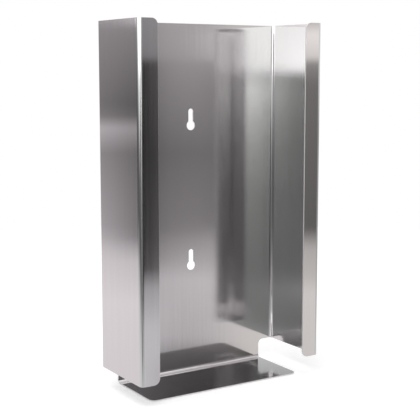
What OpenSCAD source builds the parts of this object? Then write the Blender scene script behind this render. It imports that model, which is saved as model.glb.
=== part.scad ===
// Single glove-box holder for a wall, laser cut from one blank of stainless sheet and folded.
// A channel of back, side walls and front lips holds the box; a tab cut from the back folds
// forward under it as the shelf. Millimetres. X runs across, the back is at +Y and +Z is up.
// The origin is at the middle of the footprint, on the plane that the shelf stands on.

/* [Sheet] */
// Thickness of the sheet
sheet = 1.0; // [0.6:0.1:1.5]
// Inside radius of every bend
bend_r = 2.2; // [0.8:0.1:3.5]

/* [Channel] */
// Width over the two side walls
body_w = 150; // [110:1:220]
// Depth from the wall face of the back to the front of the lips
body_d = 60; // [45:1:120]
// Height of the side walls and of the back above the shelf tab
wall_h = 245; // [215:1:330]
// Width of each front lip, measured over its bend
lip_w = 14.5; // [12:0.5:30]
// Radius of the free corners of the lips and the shelf
corner_r = 4.5; // [1:0.5:6]

/* [Shelf] */
// Height of the side walls' feet above the plane that the shelf stands on
foot_z = 15; // [11:0.5:40]
// Distance from the outside of a side wall to the edge of the shelf
shelf_inset = 13; // [11:0.5:25]
// Distance that the shelf's front edge stays behind the front of the lips
shelf_setback = 9; // [0:0.5:15]
// Radius of the relief where the tab leaves the foot of the back
relief_r = 4; // [1:0.5:5]

/* [Keyholes] */
// Diameter of the round hole that a screw head passes through
head_hole_d = 7; // [6:0.1:10]
// Width of the slot that the screw's shank slides into
slot_w = 4; // [3:0.1:5]
// Distance from the centre of the head hole up to the centre of the slot's round end
slot_rise = 10.3; // [8:0.1:16]
// Height of the lower head hole above the side walls' feet
keyhole_low = 66; // [30:1:80]
// Height of the upper head hole above the lower one
keyhole_pitch = 105; // [60:1:110]

/* [Hidden] */
$fn = 96;
bend_out = bend_r + sheet;                 // outside radius of a bend
wall_x = body_w / 2;                       // outside of a side wall
back_y = body_d / 2;                       // face of the back that lies on the wall
front_y = -body_d / 2;                     // front of the lips
top_z = foot_z + wall_h;
lip_edge_x = wall_x - lip_w;               // free edge of a lip
shelf_x = wall_x - shelf_inset;            // side edge of the tab and the shelf
shelf_front_y = front_y + shelf_setback;
trim_over = 1;                             // how far a corner's cutter runs past the edges it trims

// A quarter of a bend's section, in the quadrant of +X and +Y, round its own centre.
module bend_section() {
    intersection() {
        difference() {
            circle(r = bend_out);
            circle(r = bend_r);
        }
        square(bend_out);
    }
}

// What a cutter takes off a square outside corner at the origin, whose sheet lies in -X and -Y.
module corner_waste(r) {
    difference() {
        translate([-r, -r]) square(r + trim_over);
        translate([-r, -r]) circle(r = r);
    }
}

// What a relief adds to a square inside corner at the origin, in the quadrant of +X and -Y.
module relief_web(r) {
    difference() {
        translate([0, -r]) square(r);
        translate([r, -r]) circle(r = r);
    }
}

// Outline of one keyhole, with the head hole's centre at the origin and the slot above it.
module keyhole() {
    circle(d = head_hole_d);
    translate([-slot_w / 2, 0]) square([slot_w, slot_rise]);
    translate([0, slot_rise]) circle(d = slot_w);
}

// Sets an outline drawn with X across and Y up on end, as a sheet whose back is at y.
module upright(y) {
    translate([0, y, 0]) rotate([90, 0, 0]) linear_extrude(sheet) children();
}

// Section of one side wall with its two bends, seen from above, from the back to the lip.
module wall_section() {
    translate([wall_x - bend_out, back_y - bend_out]) bend_section();
    translate([wall_x - sheet, front_y + bend_out]) square([sheet, body_d - 2 * bend_out]);
    translate([wall_x - bend_out, front_y + bend_out]) mirror([0, 1]) bend_section();
}

// Flat of the back between the side bends, with the tab below it, the reliefs and the keyholes.
module back_and_tab() {
    flat_x = wall_x - bend_out;
    upright(back_y) difference() {
        union() {
            translate([-flat_x, foot_z]) square([2 * flat_x, wall_h]);
            translate([-shelf_x, bend_out]) square([2 * shelf_x, foot_z + sheet - bend_out]);
            for (side = [0, 1]) mirror([side, 0])
                translate([shelf_x, foot_z]) relief_web(relief_r);
        }
        for (row = [0, 1])
            translate([0, foot_z + keyhole_low + row * keyhole_pitch]) keyhole();
    }
}

// One front lip on the +X side, from its bend to its free edge, with both free corners rounded.
module lip() {
    upright(front_y + sheet) difference() {
        translate([lip_edge_x, foot_z]) square([lip_w - bend_out, wall_h]);
        translate([lip_edge_x, top_z]) mirror([1, 0]) corner_waste(corner_r);
        translate([lip_edge_x, foot_z]) mirror([1, 0]) mirror([0, 1]) corner_waste(corner_r);
    }
}

// The tab's bend and the shelf, which lies on the standing plane and has rounded front corners.
module shelf() {
    bend_y = back_y - bend_out;
    translate([-shelf_x, bend_y, bend_out]) rotate([90, 0, 90]) linear_extrude(2 * shelf_x)
        mirror([0, 1]) bend_section();
    linear_extrude(sheet) difference() {
        translate([-shelf_x, shelf_front_y]) square([2 * shelf_x, bend_y - shelf_front_y]);
        for (side = [0, 1]) mirror([side, 0])
            translate([shelf_x, shelf_front_y]) mirror([0, 1]) corner_waste(corner_r);
    }
}

// The whole folded blank, one piece of metal.
module holder() {
    color([0.66, 0.65, 0.65]) union() {
        back_and_tab();
        for (side = [0, 1]) mirror([side, 0, 0]) {
            translate([0, 0, foot_z]) linear_extrude(wall_h) wall_section();
            lip();
        }
        shelf();
    }
}

holder();
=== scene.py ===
import bpy
import numpy as np
from mathutils.geometry import delaunay_2d_cdt
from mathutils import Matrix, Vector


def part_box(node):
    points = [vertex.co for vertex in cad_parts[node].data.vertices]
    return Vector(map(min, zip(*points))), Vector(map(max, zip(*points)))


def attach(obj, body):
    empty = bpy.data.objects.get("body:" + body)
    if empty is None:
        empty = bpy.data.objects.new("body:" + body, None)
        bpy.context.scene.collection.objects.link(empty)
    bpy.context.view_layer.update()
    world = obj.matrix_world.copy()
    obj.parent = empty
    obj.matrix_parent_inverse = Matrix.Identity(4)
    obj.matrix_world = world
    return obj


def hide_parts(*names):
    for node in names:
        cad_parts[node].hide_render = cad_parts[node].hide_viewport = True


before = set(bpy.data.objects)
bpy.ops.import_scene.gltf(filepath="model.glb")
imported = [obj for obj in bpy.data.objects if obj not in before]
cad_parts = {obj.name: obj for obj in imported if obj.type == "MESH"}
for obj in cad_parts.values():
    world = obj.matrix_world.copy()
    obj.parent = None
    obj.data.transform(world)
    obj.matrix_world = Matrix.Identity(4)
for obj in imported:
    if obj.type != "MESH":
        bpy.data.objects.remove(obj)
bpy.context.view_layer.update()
holderLow, holderHigh = [np.array(corner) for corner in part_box("holder")]
print("frame loaded, holder spans", holderLow.round(4), holderHigh.round(4))

# The holder: one stainless blank, cut flat and then folded. All sizes are in metres.
sheet = {
    "thickness": 0.0010,
    "bendRadius": 0.0022,       # inside radius of every bend
    "bendSteps": 14,            # facets in a quarter bend
    "lipWidth": 0.0145,
    "cornerRadius": 0.0045,     # free corners of the lips and the shelf
    "footHeight": 0.0150,       # side walls' feet above the standing plane
    "shelfInset": 0.0130,
    "shelfSetback": 0.0090,
    "reliefRadius": 0.0040,
    "headHoleRadius": 0.0035,
    "slotWidth": 0.0040,
    "slotRise": 0.0103,
    "keyholeLow": 0.0660,       # above the side walls' feet
    "keyholePitch": 0.1050,
    "edgeRound": 0.00012,       # the cut edges are deburred
    "edgeSteps": 4,
    "arcSteps": 14,             # points on a quarter of a rounded corner
    "onLine": 1e-7,             # outline points this close to a bend line are on it
    "mergeWithin": 1e-8,
}


def blankLayout(s):
    # Lengths of the flat blank at mid-thickness: u runs across from the centre line, v runs up,
    # and v equals z wherever the blank stays upright. A bend takes up radius * pi / 2.
    low, high = holderLow, holderHigh
    bendOut = s["bendRadius"] + s["thickness"]
    arc = (s["bendRadius"] + s["thickness"] / 2) * np.pi / 2
    g = {"arc": arc, "bendOut": bendOut, "top": high[2] - low[2], "foot": s["footHeight"]}
    g["midBack"] = high[1] - s["thickness"] / 2
    g["backFlat"] = high[0] - bendOut
    g["wallFlat"] = high[1] - low[1] - 2 * bendOut
    g["lipFlat"] = s["lipWidth"] - bendOut
    g["uEnd"] = g["backFlat"] + 2 * arc + g["wallFlat"] + g["lipFlat"]
    g["tabEdge"] = high[0] - s["shelfInset"]
    g["shelfFlat"] = high[1] - bendOut - (low[1] + s["shelfSetback"])
    g["vFront"] = bendOut - arc - g["shelfFlat"]
    return g


def walkProfile(distance, steps):
    # A path that starts along +a and turns left at each bend: straight steps add length along the
    # heading, a bend adds radius * (sin, 1 - cos) of the angle turned so far. Gives a, b, heading.
    a = np.zeros_like(distance)
    b = np.zeros_like(distance)
    heading = np.zeros_like(distance)
    start, turned = 0.0, 0.0
    for kind, size in steps:
        length = size if kind == "flat" else size * np.pi / 2
        along = np.clip(distance - start, 0, length)
        if kind == "flat":
            da, db = along, 0 * along
        else:
            angle = along / size
            da, db = size * np.sin(angle), size * (1 - np.cos(angle))
            heading = heading + angle
        a = a + da * np.cos(turned) - db * np.sin(turned)
        b = b + da * np.sin(turned) + db * np.cos(turned)
        turned += 0 if kind == "flat" else np.pi / 2
        start += length
    return a, b, heading


def foldBlank(u, v, offset, s, g):
    # Folds points of the blank: beyond the back's flat the wall and lip follow the side profile,
    # and below the tab's bend line the shelf follows the tab profile. offset runs from
    # mid-thickness towards the outside. Gives the points and the two in-plane axes and normal.
    radius = s["bendRadius"] + s["thickness"] / 2
    side = np.where(u < 0, -1.0, 1.0)
    across, inward, turn = walkProfile(np.abs(u), [("flat", g["backFlat"]), ("bend", radius),
        ("flat", g["wallFlat"]), ("bend", radius), ("flat", g["lipFlat"])])
    down, forward, tip = walkProfile(g["bendOut"] - v, [("flat", 0.0), ("bend", radius),
        ("flat", g["shelfFlat"])])
    upright = v >= g["bendOut"]
    zero = np.zeros_like(u)
    point = np.stack([side * across, g["midBack"] - inward, v], -1)
    alongU = np.stack([np.cos(turn), -side * np.sin(turn), zero], -1)
    alongV = np.stack([zero, zero, zero + 1], -1)
    normal = np.stack([side * np.sin(turn), np.cos(turn), zero], -1)
    shelfPoint = np.stack([u, g["midBack"] - forward, g["bendOut"] - down], -1)
    shelfV = np.stack([zero, np.sin(tip), np.cos(tip)], -1)
    shelfNormal = np.stack([zero, np.cos(tip), -np.sin(tip)], -1)
    shelfU = np.stack([zero + 1, zero, zero], -1)
    pick = upright[:, None]
    point = np.where(pick, point, shelfPoint)
    alongU = np.where(pick, alongU, shelfU)
    alongV = np.where(pick, alongV, shelfV)
    normal = np.where(pick, normal, shelfNormal)
    return point + offset[:, None] * normal, alongU, alongV, normal


def arcPoints(centre, radius, fromDeg, toDeg, steps):
    # centre + radius * (cos, sin) at even steps of the angle.
    angle = np.radians(np.linspace(fromDeg, toDeg, steps + 1))
    return np.stack([centre[0] + radius * np.cos(angle), centre[1] + radius * np.sin(angle)], -1)


def blankOutline(s, g, steps):
    # Right half of the outline from the middle of the shelf's front edge up to the middle of the
    # top edge, as straight runs and quarter arcs, then its mirror image back down.
    r, relief, n = s["cornerRadius"], s["reliefRadius"], s["bendSteps"]
    tab, foot, top, end = g["tabEdge"], g["foot"], g["top"], g["uEnd"]
    bendV = np.linspace(g["bendOut"] - g["arc"], g["bendOut"], n + 1)
    bendU = np.concatenate([g["backFlat"] + np.linspace(0, g["arc"], n + 1),
        g["backFlat"] + g["arc"] + g["wallFlat"] + np.linspace(0, g["arc"], n + 1)])
    half = np.concatenate([
        arcPoints((tab - r, g["vFront"] + r), r, -90, 0, steps),
        np.stack([np.full(n + 1, tab), bendV], -1),
        arcPoints((tab + relief, foot - relief), relief, 180, 90, steps),
        np.stack([bendU, np.full(len(bendU), foot)], -1),
        arcPoints((end - r, foot + r), r, -90, 0, steps),
        arcPoints((end - r, top - r), r, 0, 90, steps),
        np.stack([bendU[::-1], np.full(len(bendU), top)], -1)])
    return np.concatenate([half, half[::-1] * [-1, 1]]), bendU, bendV


def keyholeOutline(s, height, steps):
    # Clockwise: round the head hole from one side of the slot to the other, then over the top.
    # The slot opens over the angle whose sine is its half width over the head hole's radius.
    opens = np.degrees(np.arcsin(s["slotWidth"] / 2 / s["headHoleRadius"]))
    head = arcPoints((0, height), s["headHoleRadius"], 90 - opens, -270 + opens, 4 * steps)
    slot = arcPoints((0, height + s["slotRise"]), s["slotWidth"] / 2, 180, 0, 2 * steps)
    return np.concatenate([head, slot])


def outwardOf(loop):
    # In-plane normals that point out of the metal: the mean direction of the two edges at a
    # point, turned a quarter to the right of the way round.
    ahead = np.roll(loop, -1, 0) - loop
    ahead = ahead / np.linalg.norm(ahead, axis=1, keepdims=True)
    mean = ahead + np.roll(ahead, 1, 0)
    mean = mean / np.linalg.norm(mean, axis=1, keepdims=True)
    return np.stack([mean[:, 1], -mean[:, 0]], -1)


def insideLoop(p, loop):
    # Even-odd rule: counts the edges that a ray towards +u crosses. A level edge is never
    # crossed, and its rise is only kept from being zero.
    a, b = loop, np.roll(loop, -1, 0)
    spans = (a[None, :, 1] > p[:, None, 1]) != (b[None, :, 1] > p[:, None, 1])
    rise = np.where(b[:, 1] == a[:, 1], 1e-12, b[:, 1] - a[:, 1])
    cross = a[None, :, 0] + (p[:, None, 1] - a[None, :, 1]) * (b - a)[None, :, 0] / rise[None, :]
    return ((spans & (p[:, None, 0] < cross)).sum(1) % 2) == 1


def fillBlank(s, g):
    # The blank's loops (outline, then keyholes), their outward normals, and the triangles between
    # the loops once these are drawn in by the edge rounding. A line crosses the blank at every
    # step of every bend, so that no triangle spans a bend.
    outline, bendU, bendV = blankOutline(s, g, s["arcSteps"])
    keyholes = [keyholeOutline(s, g["foot"] + s["keyholeLow"] + hole * s["keyholePitch"],
        s["arcSteps"]) for hole in (0, 1)]
    loops = [outline] + keyholes
    outs = [outwardOf(loop) for loop in loops]
    inset = [loop - s["edgeRound"] * out for loop, out in zip(loops, outs)]
    points = np.concatenate(inset)
    edges, rings, start = [], [], 0
    for loop in loops:
        ring = np.arange(start, start + len(loop))
        edges += list(zip(ring.tolist(), np.roll(ring, -1).tolist()))
        rings.append(ring)
        start += len(loop)
    bendLines = [(0, value) for value in np.concatenate([bendU, -bendU])]
    bendLines += [(1, value) for value in bendV]
    for axis, value in bendLines:
        ends = np.flatnonzero(np.abs(inset[0][:, axis] - value) < s["onLine"])
        edges.append((int(ends[0]), int(ends[-1])))
    filled = delaunay_2d_cdt(points.tolist(), edges, [], 0, s["mergeWithin"])
    flat = np.array([tuple(p) for p in filled[0]])
    triangles = np.array(filled[2])
    middle = flat[triangles].mean(1)
    keep = insideLoop(middle, flat[rings[0]])
    for ring in rings[1:]:
        keep &= ~insideLoop(middle, flat[ring])
    triangles = triangles[keep]
    turn = np.cross(flat[triangles[:, 1]] - flat[triangles[:, 0]],
        flat[triangles[:, 2]] - flat[triangles[:, 0]])
    triangles = np.where(turn[:, None] > 0, triangles, triangles[:, ::-1])
    assert len(flat) == len(points), "the fill added or merged points"
    return loops, outs, flat, triangles


def meshHolder(s):
    # Two faces half the thickness to either side of the filled blank, joined round every loop by
    # rings that follow the rim profile, and all of it folded.
    g = blankLayout(s)
    loops, outs, flat, triangles = fillBlank(s, g)
    half, roundBy, steps = s["thickness"] / 2, s["edgeRound"], s["edgeSteps"]

    # Rim profile from the outside face to the inside face: a quarter round, the cut, a quarter.
    quarter = np.linspace(0, np.pi / 2, steps + 1)
    tilt = np.concatenate([quarter, np.pi / 2 + quarter])
    insetBy = roundBy * (1 - np.sin(tilt))
    offset = np.where(tilt <= np.pi / 2, half - roundBy, roundBy - half) + roundBy * np.cos(tilt)
    offset[steps], offset[steps + 1] = half - roundBy, roundBy - half

    # Blank coordinates, offset, lean of the normal and way out, for both faces and then the rims.
    u = [flat[:, 0], flat[:, 0]]
    v = [flat[:, 1], flat[:, 1]]
    off = [np.full(len(flat), half), np.full(len(flat), -half)]
    lean = [np.zeros(len(flat)), np.full(len(flat), np.pi)]
    out = [np.zeros_like(flat), np.zeros_like(flat)]
    edge = [np.zeros(len(flat)), np.zeros(len(flat))]
    quads, ringStart, total = [], 0, 2 * len(flat)
    for loop, normal in zip(loops, outs):
        count = len(loop)
        rings = [ringStart + np.arange(count)]
        for k in range(1, len(tilt) - 1):
            moved = loop - insetBy[k] * normal
            u.append(moved[:, 0])
            v.append(moved[:, 1])
            off.append(np.full(count, offset[k]))
            lean.append(np.full(count, tilt[k]))
            out.append(normal)
            edge.append(np.ones(count))
            rings.append(total + np.arange(count))
            total += count
        rings.append(len(flat) + ringStart + np.arange(count))
        for a, b in zip(rings[:-1], rings[1:]):
            quads.append(np.stack([a, np.roll(a, -1), np.roll(b, -1), b], -1))
        ringStart += count
    u, v, off, lean = [np.concatenate(x) for x in (u, v, off, lean)]
    out, edge = np.concatenate(out), np.concatenate(edge)

    point, alongU, alongV, normal = foldBlank(u, v, off, s, g)
    outward = out[:, :1] * alongU + out[:, 1:] * alongV
    shade = np.cos(lean)[:, None] * normal + np.sin(lean)[:, None] * outward
    quads = np.concatenate(quads)
    outerFace = triangles[:, ::-1]
    innerFace = triangles + len(flat)
    mesh = bpy.data.meshes.new("foldedSheet")
    mesh.from_pydata(point.tolist(), [], outerFace.tolist() + innerFace.tolist() + quads.tolist())
    mesh.update()
    mesh.normals_split_custom_set_from_vertices(shade.tolist())
    loopVertex = np.empty(len(mesh.loops), np.int32)
    mesh.loops.foreach_get("vertex_index", loopVertex)
    uvLayer = mesh.uv_layers.new(name="blank")
    uvLayer.data.foreach_set("uv", np.stack([u, v], -1)[loopVertex].astype(np.float32).ravel())
    cut = mesh.attributes.new("cutEdge", "FLOAT", "POINT")
    cut.data.foreach_set("value", edge.astype(np.float32))
    return mesh


holderMesh = meshHolder(sheet)
holderPiece = bpy.data.objects.new("foldedSheet", holderMesh)
bpy.context.scene.collection.objects.link(holderPiece)
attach(holderPiece, "root")
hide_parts("holder")
print("folded sheet:", len(holderMesh.vertices), "points,", len(holderMesh.polygons), "faces")


# Brushed stainless. The grain runs up the blank, so it follows the fold onto the shelf.
steel = {
    "colour": (0.755, 0.735, 0.744),
    "roughness": 0.0863,
    "anisotropy": 0.98,
    "grainAcross": 0.00035,     # width of one grain line
    "grainAlong": 0.030,
    "grainDetail": (2.0, 0.6),  # octaves, and how strong each next one is
    "streakAcross": 0.0022,     # width of the wider streaks
    "streakAlong": 0.22,
    "streakDetail": (3.0, 0.55),
    "brushSpread": (0.6, 1.4),  # grain plus streak, from faint to strong
    "brushTone": (0.975, 1.025),
    "brushRoughness": (0.88, 1.12),
    "grainBump": 0.0000004,
    "cutRoughness": 0.42,
    "cutColour": (0.86, 0.84, 0.84),
    "cutMetal": 0.5,            # the cut edge is half dull
}


def newMaterial(name):
    # An empty node tree with its output, ready to be linked.
    material = bpy.data.materials.new(name)
    material.use_nodes = True
    tree = material.node_tree
    tree.nodes.clear()
    output = tree.nodes.new("ShaderNodeOutputMaterial")
    return material, tree, output


def addNode(tree, kind, links=None, **values):
    # A node with its sockets set by name or number, and linked where the value is a socket.
    node = tree.nodes.new(kind)
    for key, value in values.items():
        setattr(node, key, value)
    for key, value in (links or {}).items():
        if isinstance(value, bpy.types.NodeSocket):
            tree.links.new(value, node.inputs[key])
        else:
            node.inputs[key].default_value = value
    return node


def mixOut(node, kind):
    # A Mix node has one result for each kind of value, all named alike.
    return node.outputs[{"FLOAT": 0, "RGBA": 2}[kind]]


def brushNoise(tree, blank, across, along, detail):
    # Noise on the flat blank, stretched to lines that are across wide and along long.
    place = addNode(tree, "ShaderNodeMapping", {"Vector": blank,
        "Scale": (1 / across, 1 / along, 1)}).outputs[0]
    octaves, breakup = detail
    return addNode(tree, "ShaderNodeTexNoise", {"Vector": place, "Scale": 1.0,
        "Detail": octaves, "Roughness": breakup}, noise_dimensions="2D").outputs["Fac"]


def brushRange(tree, brush, m, low, high):
    # Carries the brush pattern's spread onto the range from low to high.
    return addNode(tree, "ShaderNodeMapRange", {"Value": brush,
        "From Min": m["brushSpread"][0], "From Max": m["brushSpread"][1],
        "To Min": low, "To Max": high}).outputs[0]


def steelMaterial(m):
    # Metal whose tone, roughness and bump follow the brush pattern, and a duller cut edge. The
    # highlight stretches across the grain, along the blank's u direction.
    material, tree, output = newMaterial("brushedStainless")
    blank = addNode(tree, "ShaderNodeUVMap", uv_map="blank").outputs["UV"]
    grain = brushNoise(tree, blank, m["grainAcross"], m["grainAlong"], m["grainDetail"])
    streak = brushNoise(tree, blank, m["streakAcross"], m["streakAlong"], m["streakDetail"])
    brush = addNode(tree, "ShaderNodeMath", {0: grain, 1: streak}, operation="ADD").outputs[0]
    cut = addNode(tree, "ShaderNodeAttribute", attribute_name="cutEdge",
        attribute_type="GEOMETRY").outputs["Fac"]

    tone = brushRange(tree, brush, m, *m["brushTone"])
    faceColour = addNode(tree, "ShaderNodeVectorMath", {0: m["colour"], "Scale": tone},
        operation="SCALE").outputs[0]
    colour = addNode(tree, "ShaderNodeMix", {"Factor": cut, "A": faceColour,
        "B": (*m["cutColour"], 1)}, data_type="RGBA")
    smoother, rougher = m["brushRoughness"]
    faceRough = brushRange(tree, brush, m, m["roughness"] * smoother, m["roughness"] * rougher)
    rough = addNode(tree, "ShaderNodeMix", {"Factor": cut, "A": faceRough,
        "B": m["cutRoughness"]}, data_type="FLOAT")
    metal = addNode(tree, "ShaderNodeMapRange", {"Value": cut, "To Min": 1.0,
        "To Max": m["cutMetal"]}).outputs[0]
    bump = addNode(tree, "ShaderNodeBump", {"Height": brush, "Strength": 1.0,
        "Distance": m["grainBump"]}).outputs[0]
    tangent = addNode(tree, "ShaderNodeTangent", direction_type="UV_MAP", uv_map="blank")
    shader = addNode(tree, "ShaderNodeBsdfPrincipled", {"Metallic": metal,
        "Anisotropic": m["anisotropy"], "Normal": bump, "Tangent": tangent.outputs[0]})
    tree.links.new(mixOut(colour, "RGBA"), shader.inputs["Base Color"])
    tree.links.new(mixOut(rough, "FLOAT"), shader.inputs["Roughness"])
    tree.links.new(shader.outputs[0], output.inputs["Surface"])
    return material


holderMesh.materials.append(steelMaterial(steel))
print("steel is on the sheet")


# Stage: a white table under a white sky, and round them a dim room that only reflections show.
stage = {
    "tableRadius": 0.75,
    "tableColour": (0.85, 0.85, 0.85),
    "tableGlow": 0.30,
    "tableSides": 96,
    "roomRadius": 1.4,
    "roomLow": -0.60,
    "roomHigh": 0.75,
    "roomSides": 720,
    "roomRows": 181,
    "skyStrength": 0.85,
}

# Tints of the room's light, as red, green and blue.
tints = {
    "plain": (0.98, 1, 0.99),
    "green": (0.95, 1, 0.96),
    "paleGreen": (0.96, 1, 0.97),
    "faintGreen": (0.97, 1, 0.98),
    "blush": (1.01, 0.965, 0.99),
    "rose": (1.01, 0.975, 1),
    "sand": (1.01, 0.975, 0.94),
    "cool": (1, 0.995, 1.02),
}

# The room's walls, one after another. Angles go round from 0 at the back (+y) to 90 on the right
# (+x). Each wall has the angle where it ends, how many degrees it takes to blend into the next
# one, its tint, and its light at a few heights (metres above the table).
walls = [
    # Behind the holder and on its right: soft and even.
    (30, 14, "plain", [(-0.6, 0.9), (0, 0.5), (0.35, 0.5), (0.47, 0.7)]),
    (60, 10, "plain", [(-0.6, 0.9), (0, 0.5), (0.3, 0.9), (0.4, 0.6), (0.47, 0.3)]),
    (132, 12, "plain", [(-0.6, 0.95), (-0.1, 0.4), (0.1, 0.4), (0.25, 0.8), (0.5, 0.8)]),
    # The right lip and the back panel, then the left lip.
    (145.3, 2, "sand", [(-0.6, 0.75), (-0.3, 0.78), (-0.235, 0.8), (-0.2, 0.64), (-0.14, 0.55),
        (-0.1, 0.13), (0.2, 0.18), (0.242, 0.31), (0.252, 0.84), (0.3, 1.05), (0.35, 0.26),
        (0.44, 0.0)]),
    (152, 2, "rose", [(-0.6, 0.3), (-0.42, 0.12), (-0.36, 0.50), (-0.23, 0.65), (-0.12, 0.31),
        (0.05, 0.225), (0.224, 0.40), (0.31, 0.45), (0.35, 0.55), (0.39, 0.07)]),
    (172, 8, "cool", [(-0.6, 0.80), (-0.31, 0.66), (-0.225, 0.38), (-0.185, 0.03), (0.24, 0.0),
        (0.256, 0.215), (0.35, 0.28), (0.44, 0.18)]),
    # The front, and the left outer bend beside the lip.
    (199, 8, "plain", [(-0.6, 0.80), (-0.31, 0.5), (-0.245, 0.2), (-0.19, 0.06), (0.1, 0.1),
        (0.19, 0.25), (0.24, 0.4), (0.3, 0.6), (0.4, 0.72)]),
    (206, 6, "green", [(-0.6, 0.85), (-0.37, 0.55), (-0.31, 0.3), (-0.245, 0.1), (-0.18, 0.05),
        (-0.06, 0.1), (0.003, 0.25), (0.065, 0.5), (0.127, 1.0), (0.189, 1.8), (0.25, 2.2),
        (0.4, 2.2)]),
    # The corner of the back panel and the right wall, which mirror each other and then the room.
    (212.6, 1.6, "green", [(-0.6, 0.43), (-0.42, 0.72), (-0.31, 0.36), (-0.25, 0.38),
        (-0.19, 0.46), (-0.05, 0.62), (0.05, 0.98), (0.12, 1.45), (0.18, 2.1), (0.25, 1.2),
        (0.335, 1.7), (0.37, 0.0)]),
    (214.9, 1.6, "paleGreen", [(-0.6, 0.6), (-0.4, 0.45), (-0.35, 0.1), (-0.31, 0.18),
        (-0.19, 0.0), (0.225, 0.0), (0.25, 1.1), (0.335, 1.1), (0.37, 0.0)]),
    (230, 5, "faintGreen", [(-0.6, 0.75), (-0.42, 0.55), (-0.36, 0.2), (-0.31, 0.27),
        (-0.27, 0.39), (-0.23, 0.22), (0, 0.17), (0.133, 0.10), (0.205, 0.05), (0.214, 0.12),
        (0.23, 2.0), (0.335, 1.6), (0.37, 0.0)]),
    # The rest of the left outer bend.
    (256, 8, "plain", [(-0.6, 0.85), (-0.37, 0.68), (-0.31, 0.57), (-0.245, 0.36), (-0.18, 0.17),
        (-0.12, 0.11), (0.003, 0.19), (0.065, 0.38), (0.127, 0.78), (0.189, 1.2), (0.25, 2.2),
        (0.4, 2.2)]),
    (280, 8, "plain", [(-0.6, 0.85), (-0.31, 0.70), (-0.245, 0.58), (-0.18, 0.37), (-0.12, 0.2),
        (-0.06, 0.12), (0.003, 0.12), (0.065, 0.18), (0.127, 0.28), (0.189, 0.5), (0.25, 0.85),
        (0.31, 1.4), (0.4, 1.8)]),
    (312, 10, "plain", [(-0.6, 0.85), (-0.245, 0.76), (-0.18, 0.62), (-0.12, 0.35),
        (-0.06, 0.14), (0.065, 0.10), (0.189, 0.15), (0.25, 0.25), (0.31, 0.4), (0.4, 0.6)]),
    # The top of the right wall, and then the left wall.
    (327.4, 1.2, "blush", [(-0.6, 0.78), (-0.25, 0.84), (-0.165, 0.63), (-0.115, 0.15),
        (0.06, 0.12), (0.085, 0.20), (0.11, 0.29), (0.135, 0.11), (0.16, 0.09), (0.31, 0.27),
        (0.325, 1.2), (0.345, 2.0)]),
    (330, 4, "blush", [(-0.6, 0.78), (-0.25, 0.84), (-0.165, 0.63), (-0.115, 0.15),
        (0.06, 0.12), (0.085, 0.20), (0.11, 0.29), (0.135, 0.11), (0.16, 0.09), (0.31, 0.27),
        (0.345, 0.3)]),
    (360, 10, "blush", [(-0.6, 0.76), (-0.25, 0.88), (-0.14, 0.80), (-0.09, 0.55), (0.06, 0.39),
        (0.085, 0.50), (0.11, 0.63), (0.135, 0.31), (0.16, 0.26), (0.31, 0.34), (0.345, 0.45)]),
]


def smooth(x, low, high):
    # 3t^2 - 2t^3 of the share t of the way from low to high.
    t = np.clip((x - low) / (high - low), 0, 1)
    return t * t * (3 - 2 * t)


def partLight(parts, angle, place):
    # Each part's light follows a line through its levels, and the parts blend softly into the
    # next one at their shared edge. Gives red, green and blue for every angle and place.
    light = np.zeros(angle.shape + (3,))
    start, startSoft = 0, parts[-1][1]
    for end, soft, tint, levels in parts:
        level = np.interp(place, *np.array(levels).T)
        share = np.zeros_like(angle)
        for turn in (-360, 0, 360):
            share += smooth(angle + turn, start - startSoft / 2, start + startSoft / 2) * (
                1 - smooth(angle + turn, end - soft / 2, end + soft / 2))
        light += (share * level)[..., None] * tints[tint]
        start, startSoft = end, soft
    return light


def ringGrid(name, radii, heights, columns, parts, place):
    # A surface of revolution: each row is a circle of the given radius and height. The light of
    # each point comes from the list of parts, at its angle and place.
    row, column = np.meshgrid(np.arange(len(radii)), np.arange(columns), indexing="ij")
    angle = column * 360 / columns
    turn = np.radians(angle)
    point = np.stack([radii[row] * np.sin(turn), radii[row] * np.cos(turn), heights[row]], -1)
    a = (row * columns + column)[:-1]
    b = (row * columns + (column + 1) % columns)[:-1]
    quads = np.stack([a, a + columns, b + columns, b], -1).reshape(-1, 4)
    mesh = bpy.data.meshes.new(name)
    mesh.from_pydata(point.reshape(-1, 3).tolist(), [], quads.tolist())
    mesh.update()
    light = np.ones(angle.shape + (4,))
    light[..., :3] = partLight(parts, angle, place[row]) if parts else 1
    glow = mesh.attributes.new("glow", "FLOAT_COLOR", "POINT")
    glow.data.foreach_set("color", light.astype(np.float32).ravel())
    thing = bpy.data.objects.new(name, mesh)
    bpy.context.scene.collection.objects.link(thing)
    return thing


def glowMaterial(name):
    # Shines with each point's own light.
    material, tree, output = newMaterial(name)
    glow = addNode(tree, "ShaderNodeAttribute", attribute_name="glow").outputs["Color"]
    light = addNode(tree, "ShaderNodeEmission", {"Color": glow, "Strength": 1.0})
    tree.links.new(light.outputs[0], output.inputs["Surface"])
    return material


def shownBy(tree):
    # 1 for the rays that show a thing, straight on, mirrored or through a clear one, and else 0.
    path = addNode(tree, "ShaderNodeLightPath").outputs
    seen = addNode(tree, "ShaderNodeMath", {0: path["Is Camera Ray"], 1: path["Is Glossy Ray"]},
        operation="MAXIMUM").outputs[0]
    return addNode(tree, "ShaderNodeMath", {0: seen, 1: path["Is Transmission Ray"]},
        operation="MAXIMUM").outputs[0]


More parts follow.
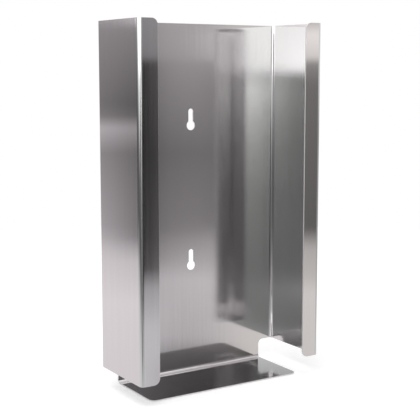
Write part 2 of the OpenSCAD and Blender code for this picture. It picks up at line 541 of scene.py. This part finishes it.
def tableMaterial(m):
    # The pale table lifts to white for the rays that show it, and keeps the holder's shadow.
    material, tree, output = newMaterial("whiteTable")
    lift = addNode(tree, "ShaderNodeMath", {0: shownBy(tree), 1: m["tableGlow"]},
        operation="MULTIPLY").outputs[0]
    matt = addNode(tree, "ShaderNodeBsdfDiffuse", {"Color": (*m["tableColour"], 1)})
    light = addNode(tree, "ShaderNodeEmission", {"Strength": lift})
    total = addNode(tree, "ShaderNodeAddShader", {0: matt.outputs[0], 1: light.outputs[0]})
    tree.links.new(total.outputs[0], output.inputs["Surface"])
    return material


def onlyReflected(thing):
    # Only glossy rays meet the thing.
    thing.visible_camera = False
    thing.visible_diffuse = False
    thing.visible_transmission = False
    thing.visible_shadow = False


tableRows = np.array([0.0, stage["tableRadius"]])
table = ringGrid("tableTop", tableRows, 0 * tableRows, stage["tableSides"], [], tableRows)
table.data.materials.append(tableMaterial(stage))
table.visible_glossy = False
roomRows = np.linspace(stage["roomLow"], stage["roomHigh"], stage["roomRows"])
roomRadii = 0 * roomRows + stage["roomRadius"]
room = ringGrid("roomWalls", roomRadii, roomRows, stage["roomSides"], walls, roomRows)
room.data.materials.append(glowMaterial("roomLight"))
onlyReflected(room)
print("table and room:", len(walls), "walls of light round the holder")


def buildSky(m):
    # White where it is seen, and a little dimmer where it only lights the table.
    world = bpy.data.worlds.new("whiteSky")
    world.use_nodes = True
    bpy.context.scene.world = world
    tree = world.node_tree
    strength = addNode(tree, "ShaderNodeMapRange", {"Value": shownBy(tree),
        "To Min": m["skyStrength"], "To Max": 1.0}).outputs[0]
    background = tree.nodes["Background"]
    background.inputs["Color"].default_value = (1, 1, 1, 1)
    tree.links.new(strength, background.inputs["Strength"])


# The viewer stands in front of the holder and to its left, and looks slightly down.
viewer = {
    "place": (-0.38226, -0.60163, 0.22580),
    "turn": 0.5641,             # radians from +y towards +x
    "pitch": 0.1260,            # radians below level
    "focalPixels": 998.41,
    "imageWidth": 420,
    "sensorWidth": 36.0,
    "shiftY": -0.03,
    "nearest": 0.01,
}


def buildViewer(m):
    # The focal length in pixels becomes millimetres by sensor width over image width.
    data = bpy.data.cameras.new("viewer")
    camera = bpy.data.objects.new("viewer", data)
    bpy.context.scene.collection.objects.link(camera)
    data.sensor_width = m["sensorWidth"]
    data.lens = m["sensorWidth"] * m["focalPixels"] / m["imageWidth"]
    data.shift_y = m["shiftY"]
    data.clip_start = m["nearest"]
    camera.location = m["place"]
    camera.rotation_euler = (np.pi / 2 - m["pitch"], 0, -m["turn"])
    bpy.context.scene.camera = camera


# One soft lamp overhead. It lights the table and the cut edges, and the steel doesn't mirror it.
lamp = {
    "place": (-0.35, -0.25, 1.1),
    "tilt": (0.25, -0.3, 0),
    "width": 0.7,
    "power": 4.0,
}


def buildLamp(m):
    data = bpy.data.lights.new("keyLight", "AREA")
    data.shape = "DISK"
    data.size = m["width"]
    data.energy = m["power"]
    light = bpy.data.objects.new("keyLight", data)
    bpy.context.scene.collection.objects.link(light)
    light.location = m["place"]
    light.rotation_euler = m["tilt"]
    light.visible_glossy = False


buildSky(stage)
buildViewer(viewer)
buildLamp(lamp)
bpy.context.scene.view_settings.view_transform = "Standard"
print("sky, viewer and lamp are in place")
